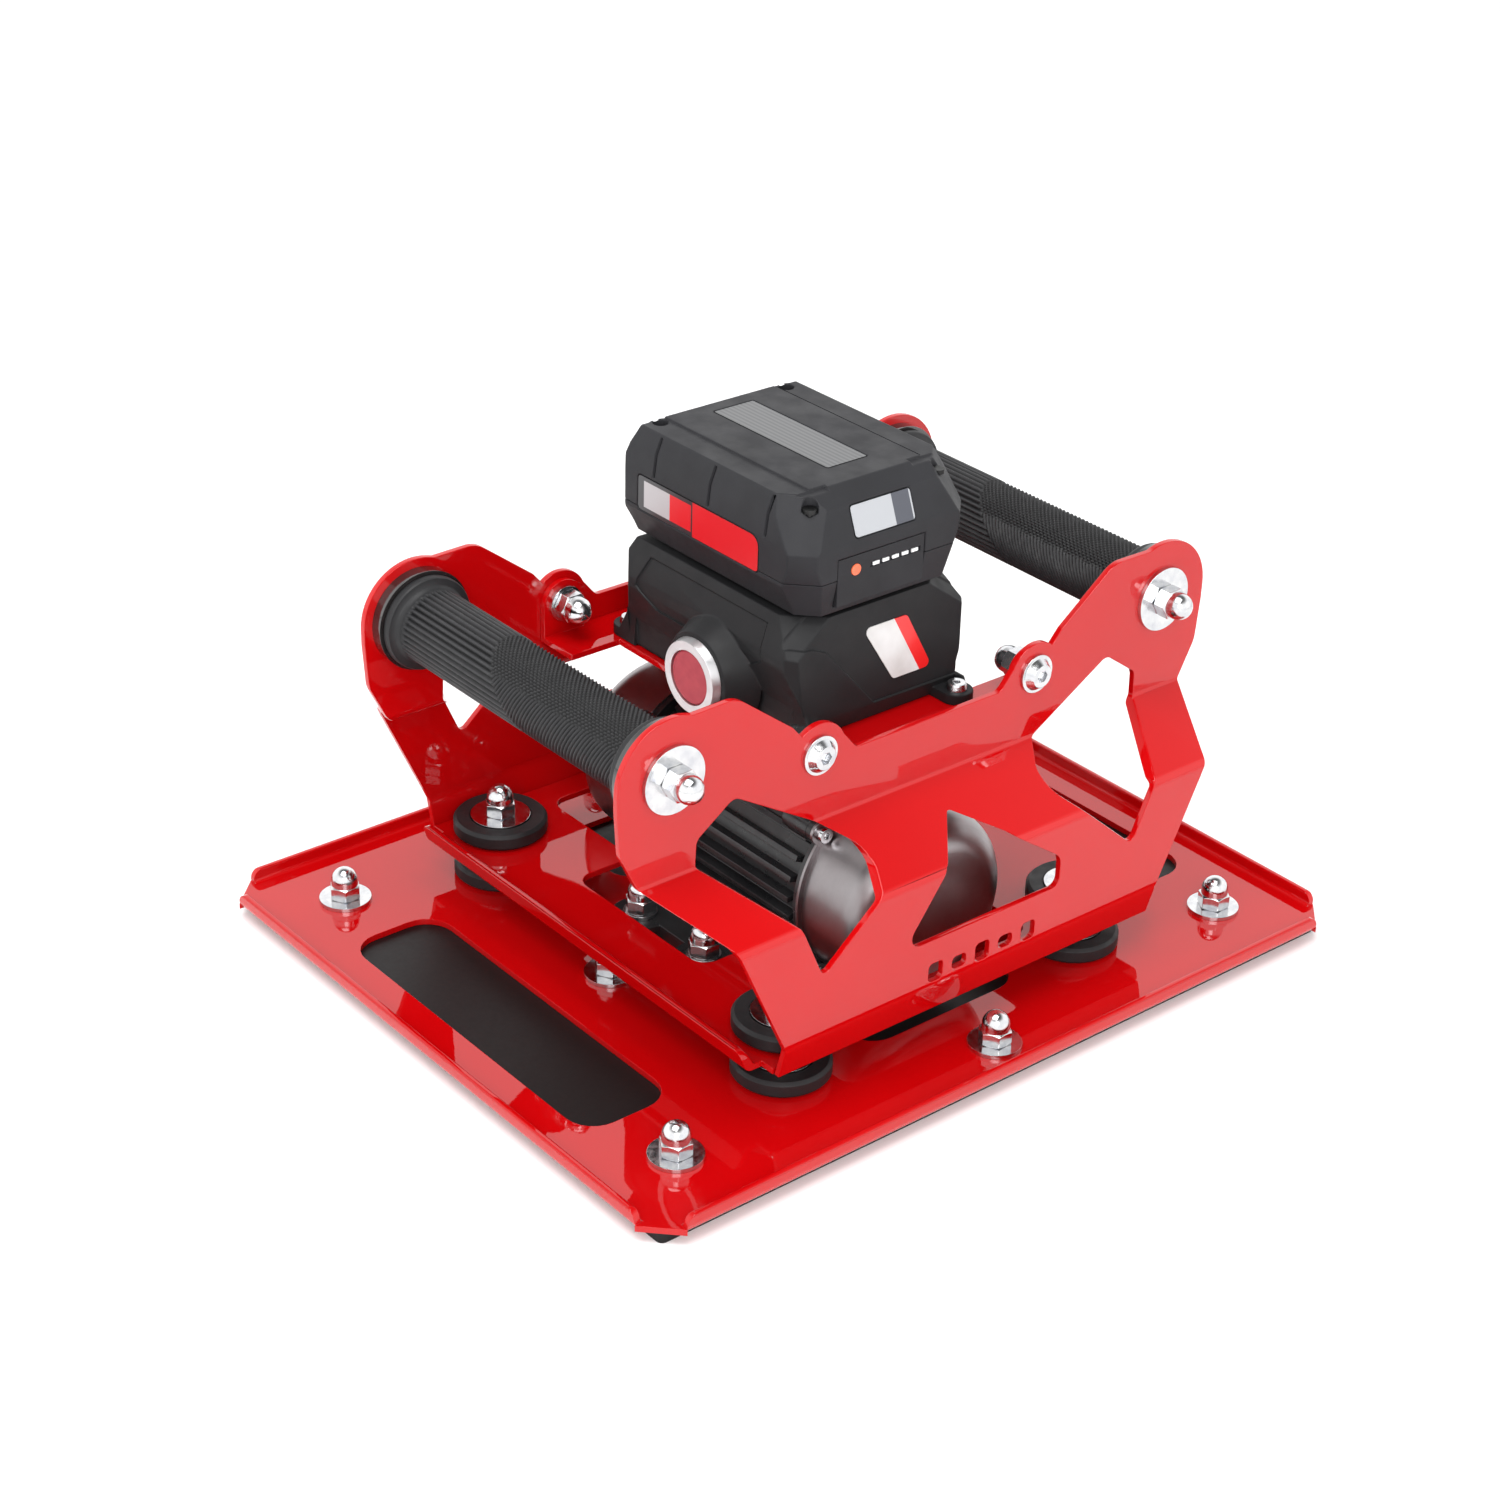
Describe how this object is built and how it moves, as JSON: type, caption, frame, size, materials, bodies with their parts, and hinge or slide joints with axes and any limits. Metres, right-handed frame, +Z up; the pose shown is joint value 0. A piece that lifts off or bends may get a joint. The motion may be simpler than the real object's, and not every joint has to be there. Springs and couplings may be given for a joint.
{
  "type": "battery vibrating plate",
  "caption": "Compact vibrating plate with an eccentric motor, a sprung folded-sheet frame, two hand grips and a slide-on battery, for bedding large tiles.",
  "frame": {"origin": "middle of the sole, on the surface the plate stands on", "axes": "+X from the left grip to the right grip, +Y along the grips away from the front panel, +Z up"},
  "size_m": [0.4, 0.33, 0.241],
  "materials": {
    "red_paint": "high gloss powder coat",
    "sole_rubber": "matt",
    "zinc": "bright zinc plate",
    "buffer_rubber": "satin",
    "motor_black": "satin black",
    "copper": "bare",
    "bearing_steel": "turned",
    "cover_steel": "satin, drawn",
    "black_plastic": "fine grain",
    "weight_iron": "as cast",
    "grip_rubber": "moulded pattern",
    "polished_aluminium": "polished",
    "board_green": "lacquered",
    "bezel_chrome": "polished",
    "label_grey": "film",
    "button_red": "gloss",
    "battery_black": "fine grain",
    "cell_blue": "sleeve",
    "black_screw": "black oxide",
    "light_clear": "clear",
    "gauge_orange": "gloss"
  },
  "bodies": {
    "base": {"base_plate": "red_paint", "sole_plate": "sole_rubber", "sole_bolts": "zinc", "sole_washers": "zinc", "sole_nuts": "zinc", "mount_studs": "zinc", "lower_buffers": "buffer_rubber", "lower_washers": "zinc", "spacer_nuts": "zinc", "upper_buffers": "buffer_rubber", "upper_washers": "zinc", "upper_nuts": "zinc", "motor_body": "motor_black", "motor_stator": "copper", "motor_bearings": "bearing_steel", "end_shields": "motor_black", "end_cover_front": "cover_steel", "end_cover_rear": "cover_steel", "cover_screws": "zinc", "motor_gland": "black_plastic", "motor_bolts": "zinc", "motor_washers": "zinc", "motor_nuts": "zinc"},
    "rotor": {"rotor_shaft": "bearing_steel", "eccentric_front": "weight_iron", "eccentric_rear": "weight_iron"},
    "frame": {"floor_tray": "red_paint", "side_panel_front": "red_paint", "side_panel_rear": "red_paint", "grip_left": "grip_rubber", "grip_right": "grip_rubber", "grip_tubes": "bearing_steel", "grip_discs": "polished_aluminium", "grip_rods": "zinc", "grip_washers": "zinc", "grip_nuts": "zinc", "cross_bracket": "red_paint", "bracket_bolts": "zinc", "bracket_washers": "zinc", "bracket_nuts": "zinc", "housing_shell": "black_plastic", "housing_base": "black_plastic", "housing_screws": "zinc", "control_board": "board_green", "housing_gland": "black_plastic", "rail_block": "black_plastic", "terminal_blades": "copper", "button_bezel": "bezel_chrome", "switch_body": "black_plastic", "housing_label": "label_grey"},
    "start": {"start_button": "button_red"},
    "battery": {"battery_shell": "battery_black", "battery_foot": "battery_black", "battery_cells": "cell_blue", "battery_screws": "black_screw", "battery_labels": "label_grey"},
    "release": {"release_button": "battery_black", "gauge_lights": "light_clear"},
    "gauge": {"gauge_button": "gauge_orange"}
  },
  "joints": [
    {"name": "frame_float", "type": "slide", "parent": "base", "child": "frame", "axis": [0, 0, 1], "range_m": [-0.0015, 0], "stiffness_N_per_m": 60000, "springref_m": 0.003},
    {"name": "rotor_spin", "type": "hinge", "parent": "base", "child": "rotor", "pos_m": [0, 0, 0.054], "axis": [0, 1, 0], "continuous": true},
    {"name": "start_press", "type": "slide", "parent": "frame", "child": "start", "axis": [1, 0, 0], "range_m": [0, 0.0025], "stiffness_N_per_m": 600, "springref_m": -0.001},
    {"name": "battery_slide", "type": "slide", "parent": "frame", "child": "battery", "axis": [0, -1, 0], "range_m": [0, 0.065]},
    {"name": "release_press", "type": "slide", "parent": "battery", "child": "release", "axis": [0, 1, 0], "range_m": [0, 0.003], "stiffness_N_per_m": 1500, "springref_m": -0.001},
    {"name": "gauge_press", "type": "slide", "parent": "release", "child": "gauge", "axis": [0, 1, 0], "range_m": [0, 0.0008], "stiffness_N_per_m": 800, "springref_m": -0.0005}
  ]
}
